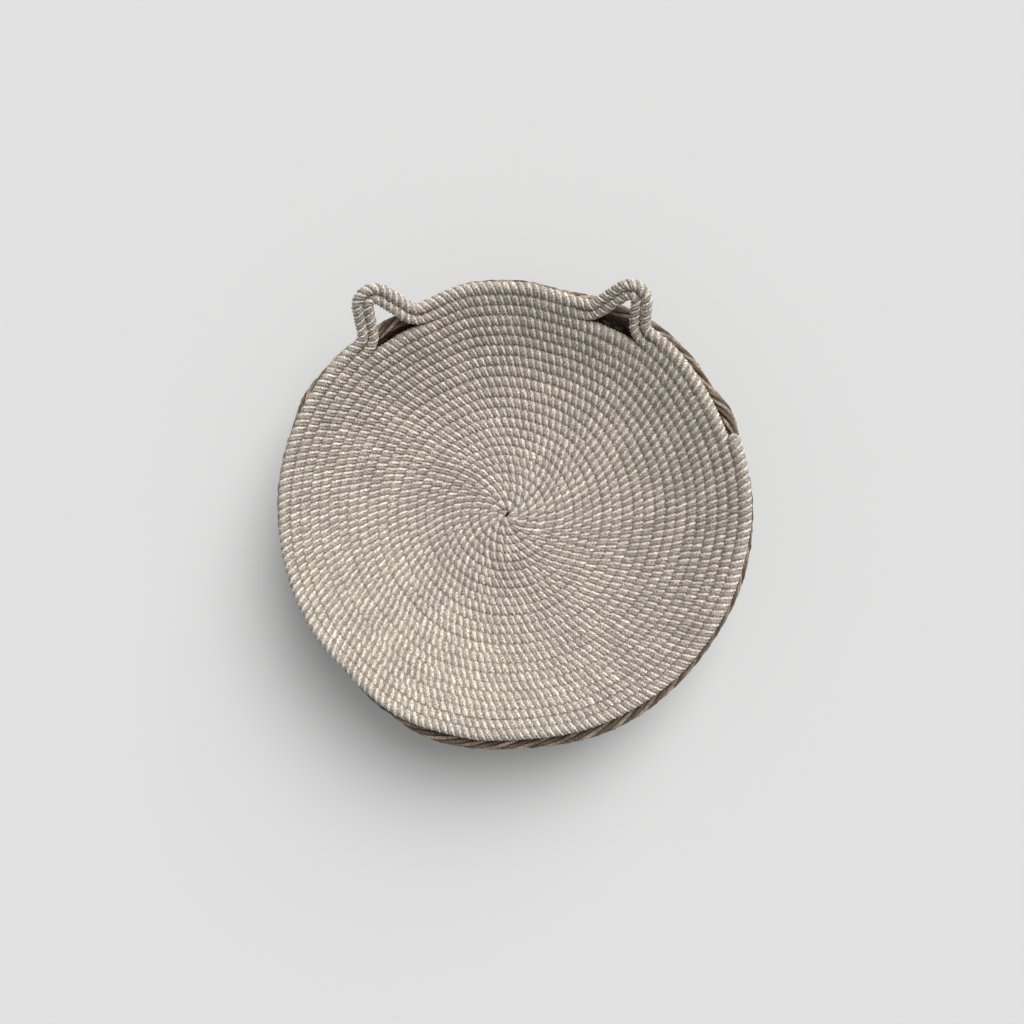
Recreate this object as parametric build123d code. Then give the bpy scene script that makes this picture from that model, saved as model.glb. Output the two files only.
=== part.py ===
from build123d import *
import math
import os

# Round pet bed in two parts: an open wicker basket, and a shallow coiled-rope seat that sits on its rim.
# Millimetres. +Z is up, +Y is the side with the two ears, and the origin is the centre of the base on the floor.

# Seat: one rope coiled from the middle outwards, row against row.
ROPE_D = 9.4             # rope diameter, a little less than the row pitch so that rows stay apart
ROW_PITCH = 9.6          # spacing of the two free rim rows
SEAT_T = 9.2             # thickness of the sewn coil
SEAT_LOW_Z = 50.0        # height of the coil's middle surface at its lowest ring
DOME_R = 62.0            # the floor rises in a faint dome inside this radius
DOME_H = 3.5
BOWL_R = 160.0           # the bowl curve ends here and the straight wall starts
WALL_DEG = 38.0          # slope of the straight wall
RIM_R = 193.4            # middle of the outermost rope row
CENTRE_R = 16.0          # tight first turns of the coil
GAP = 0.2                # clearance between neighbouring solids of one body

# Ears: the two rim rows leave the wall and come back in a pointed loop.
EAR_DEG = 31.8           # each side of +Y
EAR_TILT = 40.0          # slope of the ear's plane
EAR_HALF_BASE = 21.0     # half width of the inner rope's loop at the rim
EAR_SHARP_TIP = 41.6     # height of the inner loop's unrounded tip above its row
EAR_TIP_FILLET = 5.0
EAR_BASE_FILLET = 18.0
EAR_RUN_DEG = 5.0        # tangent run from the rim circle to the foot of the loop
EAR_PITCH = 10.0         # spacing of the two ropes round the loop
ROPE_END_DEG = 17.5      # where the rope ends on the rim, anticlockwise from +X
ROPE_END_RUN = 3.0       # degrees of rim that the tapered end takes

# Basket: base, uprights, woven wall and rolled border.
BORDER_R = 198.0         # middle of the rolled border
BORDER_D = 13.6
BORDER_Z = 98.2
WALL_LOW = (182.0, 12.0)    # radius and height of the uprights' line at the foot
WALL_TOP = (196.0, 91.0)    # and under the border
WEAVE_T = 4.0            # thickness of the woven skin outside the uprights
UPRIGHT_D = 4.4
UPRIGHTS = 36
ROUNDS = 8               # rounds of side weave between the two wales
WALE_H = 11.0            # height of the wale at the foot
TOP_WALE_H = 8.0
FOOT_IN = 171.8
FOOT_OUT = 188.0
FOOT_H = 10.5
BASE_LOW = 2.0
BASE_TOP = 12.0
BASE_SPLIT = 104.0       # the base weave is worked in two bands
SLATH_R = 34.0           # the cross of base sticks shows inside this radius
STICK_D = 4.4
STICK_COVER = 0.4        # weave above and below the sticks
STICK_LEN = 168.0
STICK_FAN = 27.0         # degrees by which the outer sticks of each set fan out
STICK_GAP = 8.0

BOWL_ARC = (BOWL_R - DOME_R) / math.sin(math.radians(WALL_DEG))


def polar(radius, degrees, z):
    """Point at a radius and an azimuth anticlockwise from +X."""
    a = math.radians(degrees)
    return (radius * math.cos(a), radius * math.sin(a), z)


def seat_height(radius):
    """Height of the coil's middle surface at a radius."""
    if radius < DOME_R:
        return SEAT_LOW_Z + DOME_H * math.cos(math.radians(90 * radius / DOME_R)) ** 2
    if radius < BOWL_R:
        return SEAT_LOW_Z + BOWL_ARC - math.sqrt(BOWL_ARC**2 - (radius - DOME_R) ** 2)
    bowl_top = BOWL_ARC * (1 - math.cos(math.radians(WALL_DEG)))
    return SEAT_LOW_Z + bowl_top + (radius - BOWL_R) * math.tan(math.radians(WALL_DEG))


def seat_slope(radius):
    """Slope of the bowl in degrees at a radius outside the dome."""
    return math.degrees(math.asin(min((radius - DOME_R) / BOWL_ARC, math.sin(math.radians(WALL_DEG)))))


def section_point(radius, offset):
    """Point in the XZ plane, offset square to the bowl's middle surface, up when positive."""
    slope = math.radians(seat_slope(radius))
    return (radius - offset * math.sin(slope), seat_height(radius) + offset * math.cos(slope))


def revolved(points):
    """Ring made by turning a closed outline in the XZ plane about Z."""
    face = Plane.XZ * make_face(Polyline(points, close=True))
    return revolve(face, axis=Axis.Z, revolution_arc=360)


def bowl_ring(inner, outer):
    """One band of the bowl: two arcs or two straights, joined square at its edges."""
    half = SEAT_T / 2
    middle = (inner + outer) / 2
    top = [section_point(r, half) for r in (inner, middle, outer)]
    low = [section_point(r, -half) for r in (inner, middle, outer)]
    if inner >= BOWL_R:
        return revolved([top[0], top[2], low[2], low[0]])
    outline = [
        ThreePointArc(*top),
        Line(top[2], low[2]),
        ThreePointArc(*reversed(low)),
        Line(low[0], top[0]),
    ]
    face = Plane.XZ * make_face(Wire(outline))
    return revolve(face, axis=Axis.Z, revolution_arc=360)


def dome_ring(inner, outer, steps=6):
    """Band of the faintly domed floor, between two radii."""
    radii = [inner + (outer - inner) * i / steps for i in range(steps + 1)]
    top = [(r, seat_height(r) + SEAT_T / 2) for r in radii]
    low = [(r, seat_height(r) - SEAT_T / 2) for r in reversed(radii)]
    return revolved(top + low)


def rim_arc(radius, z, start, end, diameter=ROPE_D):
    """Round cord along a level arc, from one azimuth to another anticlockwise."""
    section = Plane.XZ * (Pos(radius, z) * Circle(diameter / 2))
    arc = revolve(section, axis=Axis.Z, revolution_arc=end - start)
    return Rot(0, 0, start) * arc


def ear_loop(centre_deg, radius, z, half_base, tip_height, base_fillet, tip_fillet):
    """One rope of an ear, with its path's foot angle: a round tube along runs joined by tangent arcs."""
    foot_deg = math.degrees(math.asin(half_base / radius))
    start_deg = foot_deg + EAR_RUN_DEG
    foot_r = radius / math.cos(math.radians(EAR_RUN_DEG))
    tip_r = radius * math.cos(math.radians(foot_deg)) + tip_height * math.cos(math.radians(EAR_TILT))
    tip_z = z + tip_height * math.sin(math.radians(EAR_TILT))
    points = [
        polar(radius, centre_deg - start_deg, z),
        polar(foot_r, centre_deg - foot_deg, z),
        polar(tip_r, centre_deg, tip_z),
        polar(foot_r, centre_deg + foot_deg, z),
        polar(radius, centre_deg + start_deg, z),
    ]
    path = FilletPolyline(*points, radius=[base_fillet, tip_fillet, base_fillet])
    start = Plane(origin=path @ 0, z_dir=path % 0)
    return sweep(start * Circle(ROPE_D / 2), path=path), start_deg


def wall_radius(z):
    """Radius of the line of uprights at a height."""
    return WALL_LOW[0] + (WALL_TOP[0] - WALL_LOW[0]) * (z - WALL_LOW[1]) / (WALL_TOP[1] - WALL_LOW[1])


def wall_band(low, high, thickness=WEAVE_T):
    """Band of woven skin between two heights, just outside the uprights."""
    skin = UPRIGHT_D / 2 + GAP
    lean = math.cos(math.atan2(WALL_TOP[0] - WALL_LOW[0], WALL_TOP[1] - WALL_LOW[1]))
    near = skin / lean
    far = (skin + thickness) / lean
    return revolved([
        (wall_radius(low) + near, low),
        (wall_radius(low) + far, low),
        (wall_radius(high) + far, high),
        (wall_radius(high) + near, high),
    ])


def uprights():
    """The ring of upright stakes, leaning out with the wall."""
    low, high = WALL_LOW[1] + GAP, WALL_TOP[1] - GAP
    stakes = []
    for i in range(UPRIGHTS):
        azimuth = 360 * i / UPRIGHTS
        foot = Vector(*polar(wall_radius(low), azimuth, low))
        head = Vector(*polar(wall_radius(high), azimuth, high))
        plane = Plane(origin=foot, z_dir=head - foot)
        stakes.append(extrude(plane * Circle(UPRIGHT_D / 2), amount=(head - foot).length))
    return Compound(children=stakes)


def base_sticks(turn, z):
    """Three sticks of the base cross, parallel in the middle and fanned out towards the edge."""
    sticks = []
    for side in (-1, 0, 1):
        offset = side * STICK_GAP
        if side == 0:
            run = Line((-STICK_LEN, 0, z), (STICK_LEN, 0, z))
            sticks.append(sweep(Plane(origin=run @ 0, z_dir=run % 0) * Circle(STICK_D / 2), path=run))
            continue
        fan = math.radians(STICK_FAN)
        reach = STICK_LEN - SLATH_R
        far_x = SLATH_R + reach * math.cos(fan)
        far_y = offset + side * reach * math.sin(fan)
        points = [(-far_x, far_y, z), (-SLATH_R, offset, z), (SLATH_R, offset, z), (far_x, far_y, z)]
        path = FilletPolyline(*points, radius=[40.0, 40.0])
        sticks.append(sweep(Plane(origin=path @ 0, z_dir=path % 0) * Circle(STICK_D / 2), path=path))
    return Compound(children=[Rot(0, 0, turn) * stick for stick in sticks])


def base_band(inner, outer, sticks):
    """Ring of base weave with the sticks running through it."""
    band = revolved([(inner, BASE_LOW), (outer, BASE_LOW), (outer, BASE_TOP), (inner, BASE_TOP)])
    return band.solid().cut(*[stick.solid() for stick in sticks])


def foot_ring():
    """Thick wale that the basket stands on: flat below, rounded above."""
    outline = [
        (FOOT_IN + GAP, 0),
        (FOOT_OUT - 3, 0),
        (FOOT_OUT, 3),
        (FOOT_OUT, FOOT_H - 3),
        (FOOT_OUT - 3, FOOT_H),
        (FOOT_IN + GAP, FOOT_H),
    ]
    return revolved(outline)


def rope_end():
    """Tapered, bound end of the rope, lying on along the rim."""
    start = ROPE_END_DEG - ROPE_END_RUN
    length = RIM_R * math.radians(ROPE_END_RUN) - GAP
    origin = polar(RIM_R, start, seat_height(RIM_R))
    plane = Plane(origin=origin, z_dir=polar(1, start + 90, 0))
    return loft([plane * Circle(ROPE_D / 2), plane.offset(length) * Circle(ROPE_D / 2 - 1.6)])


def stitch_thread(front_start, front_end):
    """Sewing thread lying in the two open grooves beside the inner rim row, over the front."""
    thread_d = 1.0
    reach = ROPE_D / 2 + thread_d / 2 + GAP / 2
    lift = math.sqrt(reach**2 - (ROW_PITCH / 2) ** 2)
    wall = math.radians(WALL_DEG)
    threads = []
    for rows_in in (0.5, 1.5):
        along = -rows_in * ROW_PITCH
        radius = RIM_R + along * math.cos(wall) - (lift + (rows_in - 0.5) * 0.4) * math.sin(wall)
        z = seat_height(RIM_R) + along * math.sin(wall) + (lift + (rows_in - 0.5) * 3.4) * math.cos(wall)
        threads.append(rim_arc(radius, z, front_start, front_end, thread_d))
    return Compound(children=threads)


def build_seat():
    """Every node of the coiled seat, by name."""
    wall = math.radians(WALL_DEG)
    outer_z = seat_height(RIM_R)
    inner_r = RIM_R - ROW_PITCH * math.cos(wall)
    inner_z = outer_z - ROW_PITCH * math.sin(wall)
    wall_end = RIM_R - (1.5 * ROW_PITCH + GAP) * math.cos(wall)
    bowl_split = (DOME_R + BOWL_R) / 2

    nodes = {
        "seat_centre_coil": revolved([
            (0, SEAT_LOW_Z + DOME_H - SEAT_T / 2),
            (CENTRE_R, seat_height(CENTRE_R) - SEAT_T / 2),
            (CENTRE_R, seat_height(CENTRE_R) + SEAT_T / 2),
            (0, SEAT_LOW_Z + DOME_H + SEAT_T / 2),
        ]),
        "seat_floor_coil": dome_ring(CENTRE_R + GAP, DOME_R),
        "seat_lower_bowl_coil": bowl_ring(DOME_R + GAP, bowl_split),
        "seat_upper_bowl_coil": bowl_ring(bowl_split + GAP, BOWL_R - GAP),
        "seat_wall_coil": bowl_ring(BOWL_R, wall_end),
    }

    # The outer rope's loop runs parallel to the inner one.
    slant = math.atan2(EAR_HALF_BASE, EAR_SHARP_TIP)
    outer_half = EAR_HALF_BASE + EAR_PITCH / math.cos(slant) - ROW_PITCH * math.tan(slant)
    outer_tip = outer_half / math.tan(slant)
    for side, centre in (("right", 90 - EAR_DEG), ("left", 90 + EAR_DEG)):
        inner, inner_run = ear_loop(
            centre, inner_r, inner_z, EAR_HALF_BASE, EAR_SHARP_TIP, EAR_BASE_FILLET, EAR_TIP_FILLET
        )
        outer, outer_run = ear_loop(
            centre, RIM_R, outer_z, outer_half, outer_tip,
            EAR_BASE_FILLET - EAR_PITCH, EAR_TIP_FILLET + EAR_PITCH,
        )
        nodes[f"ear_{side}_inner_rope"] = inner
        nodes[f"ear_{side}_outer_rope"] = outer

    right, left = 90 - EAR_DEG, 90 + EAR_DEG
    nodes["rim_inner_row_front"] = rim_arc(inner_r, inner_z, left + inner_run, 360 + right - inner_run)
    nodes["rim_inner_row_back"] = rim_arc(inner_r, inner_z, right + inner_run, left - inner_run)
    nodes["rim_outer_row_front"] = rim_arc(RIM_R, outer_z, left + outer_run, 360 + ROPE_END_DEG - ROPE_END_RUN)
    nodes["rim_outer_row_side"] = rim_arc(RIM_R, outer_z, ROPE_END_DEG, right - outer_run)
    nodes["rim_outer_row_back"] = rim_arc(RIM_R, outer_z, right + outer_run, left - outer_run)
    nodes["rope_end"] = rope_end()
    nodes["stitch_thread"] = stitch_thread(left + outer_run + 3, 360 + ROPE_END_DEG - ROPE_END_RUN)
    return nodes


def build_basket():
    """Every node of the wicker basket, by name."""
    lower = base_sticks(0, BASE_LOW + STICK_COVER + STICK_D / 2)
    upper = base_sticks(90, BASE_TOP - STICK_COVER - STICK_D / 2)
    sticks = list(lower.children) + list(upper.children)
    nodes = {
        "base_sticks_lower": lower,
        "base_sticks_upper": upper,
        "base_weave_inner": base_band(SLATH_R, BASE_SPLIT, sticks),
        "base_weave_outer": base_band(BASE_SPLIT + GAP, FOOT_IN, sticks),
        "foot_wale": foot_ring(),
        "uprights": uprights(),
    }
    wale_low = WALL_LOW[1]
    wale_top = wale_low + WALE_H
    weave_top = WALL_TOP[1] - TOP_WALE_H
    round_h = (weave_top - wale_top) / ROUNDS
    nodes["upset_wale"] = wall_band(wale_low, wale_top - GAP, WEAVE_T + 1.5)
    for i in range(ROUNDS):
        low = wale_top + i * round_h
        nodes[f"side_weave_{i + 1}"] = wall_band(low, low + round_h - GAP)
    nodes["top_wale"] = wall_band(weave_top, BORDER_Z - BORDER_D / 2 - GAP)
    nodes["rolled_border"] = revolve(
        Plane.XZ * (Pos(BORDER_R, BORDER_Z) * Circle(BORDER_D / 2)), axis=Axis.Z, revolution_arc=360
    )
    return nodes


def main():
    """Write one STEP file for each node of both bodies."""
    os.makedirs("parts", exist_ok=True)
    for name, shape in {**build_basket(), **build_seat()}.items():
        export_step(shape, f"parts/{name}.step")


main()
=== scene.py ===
"""Wicker pet bed: a coiled two-tone rope seat that lies in a round wicker basket."""

import logging
import math
from dataclasses import dataclass
from enum import Enum

import bpy
import numpy as np
from bpy.types import Material, Node, NodeSocket, NodeTree, Object, bpy_prop_collection
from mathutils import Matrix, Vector


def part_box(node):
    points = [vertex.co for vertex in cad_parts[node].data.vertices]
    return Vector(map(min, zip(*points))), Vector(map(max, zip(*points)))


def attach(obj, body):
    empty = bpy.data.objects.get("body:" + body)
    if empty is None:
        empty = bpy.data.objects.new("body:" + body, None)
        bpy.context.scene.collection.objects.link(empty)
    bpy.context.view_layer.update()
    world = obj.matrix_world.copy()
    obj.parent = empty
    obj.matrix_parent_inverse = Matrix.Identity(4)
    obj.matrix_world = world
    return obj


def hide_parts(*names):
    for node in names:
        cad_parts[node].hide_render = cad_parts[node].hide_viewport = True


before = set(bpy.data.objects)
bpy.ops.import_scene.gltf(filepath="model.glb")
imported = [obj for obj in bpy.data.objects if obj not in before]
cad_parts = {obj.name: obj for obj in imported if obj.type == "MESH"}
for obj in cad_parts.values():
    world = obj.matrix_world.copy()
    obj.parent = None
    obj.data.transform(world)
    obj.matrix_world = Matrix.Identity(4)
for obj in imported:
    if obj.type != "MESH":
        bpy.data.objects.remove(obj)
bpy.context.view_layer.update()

log = logging.getLogger("pet_bed")
TAU = 2 * math.pi
MM = 0.001

norm = np.linalg.norm

Array = np.ndarray
Groups = dict[str, NodeTree]
Pair = tuple[float, float]
Triple = tuple[float, float, float]
Stations = tuple[Pair, ...]

# Pairs are the values of a noise or a mask at which a shade starts and stops changing.
NOISE_RANGE = (0.3, 0.7)
GRAIN_RANGE = (0.35, 0.65)
TONE_RANGE = (0.25, 0.75)
SEAM_SHADE_RANGE = (0.5, 0.95)
# Distances from the seat's middle over which the painted middle shade fades out.
MIDDLE_SHADE_RANGE = (0.04, 0.2)
UP_RANGE = (0.1, 0.95)
PATCH_RANGE = (0.35, 0.7)
STRIPE_RANGE = (0.45, -0.45)
GROOVE_EDGE = 0.98
GROOVE_SOFTENING = 4.0
FRAY_SCALE = 620.0
TONES_PER_METRE = 45.0
DUST_COLOUR = (0.42, 0.38, 0.33)
CORD_SPECULAR = 0.25
SHEEN_ROUGHNESS = 0.6
WHITE = (1, 1, 1, 1)

# Shape of a cord's strands and ends.
CROWN_POWER = 2.4
SWELL_KEPT = 0.6
TAPER_FLOOR = 0.0009


class Slot(Enum):
    """Material slots of the record."""

    ROPE = "two_tone_rope"
    WICKER = "brown_wicker"
    THREAD = "thread"


class Body(Enum):
    """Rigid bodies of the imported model."""

    BASKET = "basket"
    SEAT = "seat"


# ---- shader node groups


def fill(node: Node, values: dict[str, object]) -> None:
    """Set a node's inputs by name."""
    for label, value in values.items():
        node.inputs[label].default_value = value


@dataclass
class Graph:
    """Short way to add and link nodes in one node tree."""

    tree: NodeTree

    def node(self, kind: str, **settings: object) -> Node:
        """Add a node and set its properties."""
        made = self.tree.nodes.new(kind)
        for key, value in settings.items():
            setattr(made, key, value)
        return made

    def link(self, source: NodeSocket, target: NodeSocket) -> None:
        """Link two sockets."""
        self.tree.links.new(source, target)

    def feed(self, value: object, target: NodeSocket) -> None:
        """Link a socket, or set a constant on the target."""
        if isinstance(value, NodeSocket):
            self.link(value, target)
        else:
            target.default_value = value

    def math(self, operation: str, *values: object, clamp: bool = False) -> NodeSocket:
        """Add a Math node fed by sockets or numbers, and return its output."""
        made = self.node("ShaderNodeMath", operation=operation, use_clamp=clamp)
        for socket, value in zip(made.inputs, values):
            self.feed(value, socket)
        return made.outputs[0]

    def times(self, first: object, *others: object) -> NodeSocket:
        """Multiply sockets and numbers, and return the product."""
        for value in others:
            first = self.math("MULTIPLY", first, value)
        return first

    def mix(self, factor: object, a: object, b: object, blend: str = "MIX") -> NodeSocket:
        """Add a colour Mix node and return its result."""
        made = self.node("ShaderNodeMix", data_type="RGBA", blend_type=blend)
        self.feed(factor, made.inputs["Factor"])
        self.feed(a, made.inputs[6])
        self.feed(b, made.inputs[7])
        return made.outputs[2]

    def remap(self, value: object, low: object, high: object, to_low: float,
              to_high: float) -> NodeSocket:
        """Add a smooth Map Range node and return its result."""
        made = self.node("ShaderNodeMapRange", interpolation_type="SMOOTHSTEP")
        for label, fed in (("Value", value), ("From Min", low), ("From Max", high)):
            self.feed(fed, made.inputs[label])
        fill(made, {"To Min": to_low, "To Max": to_high})
        return made.outputs[0]

    def vary(self, value: object, ends: Pair, spread: float) -> NodeSocket:
        """Turn a noise into a factor that strays from 1 by the spread either way."""
        return self.remap(value, *ends, 1 - spread, 1 + spread)

    def noise(self, vector: object, scale: object, detail: float = 2.0,
              rough: float = 0.5) -> NodeSocket:
        """Add a Noise Texture and return its factor."""
        made = self.node("ShaderNodeTexNoise")
        self.feed(vector, made.inputs["Vector"])
        self.feed(scale, made.inputs["Scale"])
        fill(made, {"Detail": detail, "Roughness": rough})
        return made.outputs["Fac"]

    def group(self, tree: NodeTree, values: dict[str, float]) -> bpy_prop_collection:
        """Use a shared node group with some inputs set, and return its outputs."""
        made = self.node("ShaderNodeGroup", node_tree=tree)
        fill(made, values)
        return made.outputs

    def bump(self, height: object, shader: Node, distance: float, strength: float) -> None:
        """Add a Bump node from a height to a shader's normal."""
        made = self.node("ShaderNodeBump")
        fill(made, {"Distance": distance, "Strength": strength})
        self.link(height, made.inputs["Height"])
        self.link(made.outputs["Normal"], shader.inputs["Normal"])


def new_group(name: str, inputs: dict[str, float],
              outputs: tuple[str, ...]) -> tuple[Graph, Node, Node]:
    """Make an empty shader node group with named float sockets.

    Args:
        name: Name of the group.
        inputs: Inputs and their defaults.
        outputs: Names of the outputs.

    Returns:
        The group's graph, its Group Input node and its Group Output node.
    """
    tree = bpy.data.node_groups.new(name, "ShaderNodeTree")
    for label, value in inputs.items():
        socket = tree.interface.new_socket(name=label, in_out="INPUT", socket_type="NodeSocketFloat")
        socket.default_value = value
    for label in outputs:
        tree.interface.new_socket(name=label, in_out="OUTPUT", socket_type="NodeSocketFloat")
    return Graph(tree), tree.nodes.new("NodeGroupInput"), tree.nodes.new("NodeGroupOutput")


def new_material(name: str) -> tuple[Material, Graph, Node]:
    """Make a plain material, and return it with its graph and its shader node."""
    made = bpy.data.materials.new(name)
    made.use_nodes = True
    g = Graph(made.node_tree)
    return made, g, g.tree.nodes["Principled BSDF"]


def strand_group() -> NodeTree:
    """Stripes, grooves and fine yarns of a laid cord, read from the piece's UV map.

    U runs once round the cord and follows its strands; V is the length along it in metres.

    Returns:
        Group with the outputs Second (towards 1 on every other strand), Groove (1 in the grooves between
        strands), Yarn (fine ribs along each strand) and Tone (slow variation from strand to strand).
    """
    g, source, sink = new_group("laid_strands", {"Strands": 4, "Yarns": 3, "Softness": 0.1, "Fray": 0.05},
                                ("Second", "Groove", "Yarn", "Tone"))
    uv = g.node("ShaderNodeUVMap", uv_map="lay")
    parts = g.node("ShaderNodeSeparateXYZ")
    g.link(uv.outputs["UV"], parts.inputs[0])
    coords = g.node("ShaderNodeTexCoord")
    fray = g.math("SUBTRACT", g.noise(coords.outputs["Object"], FRAY_SCALE, 2.0), 0.5)
    fray = g.times(fray, source.outputs["Fray"])
    around = g.math("ADD", g.times(parts.outputs["X"], source.outputs["Strands"]), fray)
    strand = g.math("FLOOR", around)
    inside = g.math("FRACT", around)
    edge = g.times(g.math("ABSOLUTE", g.math("SUBTRACT", inside, 0.5)), 2.0)
    stripe = g.math("SINE", g.times(around, math.pi))
    g.link(g.remap(stripe, *STRIPE_RANGE, 0.0, 1.0), sink.inputs["Second"])
    groove_from = g.math("SUBTRACT", GROOVE_EDGE, g.times(source.outputs["Softness"], GROOVE_SOFTENING))
    g.link(g.remap(edge, groove_from, 1.0, 0.0, 1.0), sink.inputs["Groove"])
    ribs = g.math("SINE", g.times(inside, source.outputs["Yarns"], TAU))
    g.link(g.math("MULTIPLY_ADD", ribs, 0.5, 0.5), sink.inputs["Yarn"])
    cell = g.node("ShaderNodeCombineXYZ")
    g.link(strand, cell.inputs[0])
    g.link(g.times(parts.outputs["Y"], TONES_PER_METRE), cell.inputs[1])
    g.link(g.noise(cell.outputs[0], 1.0, 1.0), sink.inputs["Tone"])
    return g.tree


def fibre_group() -> NodeTree:
    """Fine and coarse mottling in the object's own space, for loose fibres and uneven dye.

    Returns:
        Group with the outputs Fine (height and speckle of fibres) and Coarse (slow patches).
    """
    g, source, sink = new_group("fibres", {"Fine Scale": 2200, "Coarse Scale": 40}, ("Fine", "Coarse"))
    place = g.node("ShaderNodeTexCoord").outputs["Object"]
    g.link(g.noise(place, source.outputs["Fine Scale"], 3.0, 0.65), sink.inputs["Fine"])
    g.link(g.noise(place, source.outputs["Coarse Scale"], 3.0, 0.55), sink.inputs["Coarse"])
    return g.tree


def dust_group() -> NodeTree:
    """Pale dust that settles on faces that look up and gathers in patches.

    Returns:
        Group with the output Dust, a mask from 0 to 1.
    """
    g, source, sink = new_group("dust", {"Amount": 0.3, "Scale": 30}, ("Dust",))
    place = g.node("ShaderNodeTexCoord").outputs["Object"]
    geometry = g.node("ShaderNodeNewGeometry")
    parts = g.node("ShaderNodeSeparateXYZ")
    g.link(geometry.outputs["Normal"], parts.inputs[0])
    up = g.remap(parts.outputs["Z"], *UP_RANGE, 0.0, 1.0)
    patches = g.remap(g.noise(place, source.outputs["Scale"], 4.0, 0.6), *PATCH_RANGE, 0.2, 1.0)
    mask = g.math("MULTIPLY", g.times(up, patches), source.outputs["Amount"], clamp=True)
    g.link(mask, sink.inputs["Dust"])
    return g.tree


# ---- finishes


@dataclass(frozen=True)
class CordFinish:
    """Finish of a laid cord: two colours by strand, painted shade in the grooves, fine yarns and fibres.

    Colours are linear. The seam shade darkens a cord towards its edges, where the rows beside it press on it:
    painted shade in the seams between rows. The middle shade darkens the rope towards the seat's middle:
    painted shade in the bottom of the bowl.
    """

    name: str
    first: Triple
    second: Triple
    # Colour of the painted shade in the grooves between strands, the seams between rows and the seat's
    # middle.
    shade_colour: Triple
    strands: int
    yarns: int
    softness: float = 0.06
    fray: float = 0.05
    groove_shade_strength: float = 0.6
    tone_spread: float = 0.25
    patch_spread: float = 0.15
    roughness: float = 0.9
    rough_spread: Pair = (-0.08, 0.06)
    sheen: float = 0.15
    fine_scale: float = 2200.0
    fine_contrast: float = 0.3
    rib_height: float = 0.00012
    fibre_height: float = 0.00010
    dust: float = 0.0
    seam_painted_shade: float = 0.0
    middle_painted_shade: float = 0.0

    def material(self, groups: Groups) -> Material:
        """Build the material.

        Args:
            groups: The shared shader node groups by name.

        Returns:
            The new material.
        """
        made, g, shader = new_material(self.name)
        lay = g.group(groups["strands"], {"Strands": self.strands, "Yarns": self.yarns,
                                          "Softness": self.softness, "Fray": self.fray})
        fibres = g.group(groups["fibres"], {"Fine Scale": self.fine_scale})
        colour = g.mix(lay["Second"], (*self.first, 1), (*self.second, 1))
        tone = g.vary(lay["Tone"], TONE_RANGE, self.tone_spread)
        patch = g.vary(fibres["Coarse"], NOISE_RANGE, self.patch_spread)
        speck = g.vary(fibres["Fine"], NOISE_RANGE, self.fine_contrast)
        shade = g.times(tone, patch, speck)
        grey = g.node("ShaderNodeCombineColor")
        for channel in grey.inputs:
            g.link(shade, channel)
        colour = g.mix(1.0, colour, grey.outputs[0], "MULTIPLY")
        # Painted shade: the grooves between strands are darkened towards the shade colour.
        colour = g.mix(g.times(lay["Groove"], self.groove_shade_strength), colour, (*self.shade_colour, 1))
        # Painted shade in the seams between rows: a cord darkens towards its edges, where the rows beside it
        # press on it.
        if self.seam_painted_shade:
            press = g.node("ShaderNodeAttribute", attribute_name="press")
            seam_darkening = g.remap(press.outputs["Fac"], *SEAM_SHADE_RANGE, 0.0, self.seam_painted_shade)
            colour = g.mix(seam_darkening, colour, (*self.shade_colour, 1))
        if self.dust:
            dust = g.group(groups["dust"], {"Amount": self.dust})
            colour = g.mix(dust["Dust"], colour, (*DUST_COLOUR, 1))
        # Painted shade in the bottom of the bowl: the rope darkens towards the seat's middle.
        if self.middle_painted_shade:
            reach = g.node("ShaderNodeVectorMath", operation="LENGTH")
            g.link(g.node("ShaderNodeTexCoord").outputs["Object"], reach.inputs[0])
            centre_darkening = g.remap(reach.outputs["Value"], *MIDDLE_SHADE_RANGE, self.middle_painted_shade, 0.0)
            colour = g.mix(centre_darkening, colour, (*self.shade_colour, 1))
        g.link(colour, shader.inputs["Base Color"])
        ribs = g.times(lay["Yarn"], self.rib_height)
        g.bump(g.math("ADD", ribs, g.times(fibres["Fine"], self.fibre_height)), shader, 1.0, 1.0)
        low, high = self.rough_spread
        rough = g.remap(fibres["Fine"], *NOISE_RANGE, self.roughness + low, self.roughness + high)
        g.link(rough, shader.inputs["Roughness"])
        fill(shader, {"Specular IOR Level": CORD_SPECULAR, "Sheen Weight": self.sheen,
                      "Sheen Roughness": SHEEN_ROUGHNESS})
        return made


@dataclass(frozen=True)
class RodFinish:
    """Finish of a bare willow rod: long grain with darker flecks."""

    name: str
    pale: Triple
    dark: Triple
    roughness: float = 0.7
    grain_scale: float = 500.0
    patch_scale: float = 60.0
    patch_shade: float = 0.5
    relief: float = 0.0003
    relief_strength: float = 0.6

    def material(self, groups: Groups) -> Material:
        """Build the material."""
        made, g, shader = new_material(self.name)
        fibres = g.group(groups["fibres"], {"Fine Scale": self.grain_scale, "Coarse Scale": self.patch_scale})
        grain = g.remap(fibres["Fine"], *GRAIN_RANGE, 0.0, 1.0)
        colour = g.mix(grain, (*self.dark, 1), (*self.pale, 1))
        shade = g.remap(fibres["Coarse"], *NOISE_RANGE, 0.0, self.patch_shade)
        g.link(g.mix(shade, colour, (*self.dark, 1)), shader.inputs["Base Color"])
        g.bump(fibres["Fine"], shader, self.relief, self.relief_strength)
        shader.inputs["Roughness"].default_value = self.roughness
        return made


# ---- cords


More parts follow.
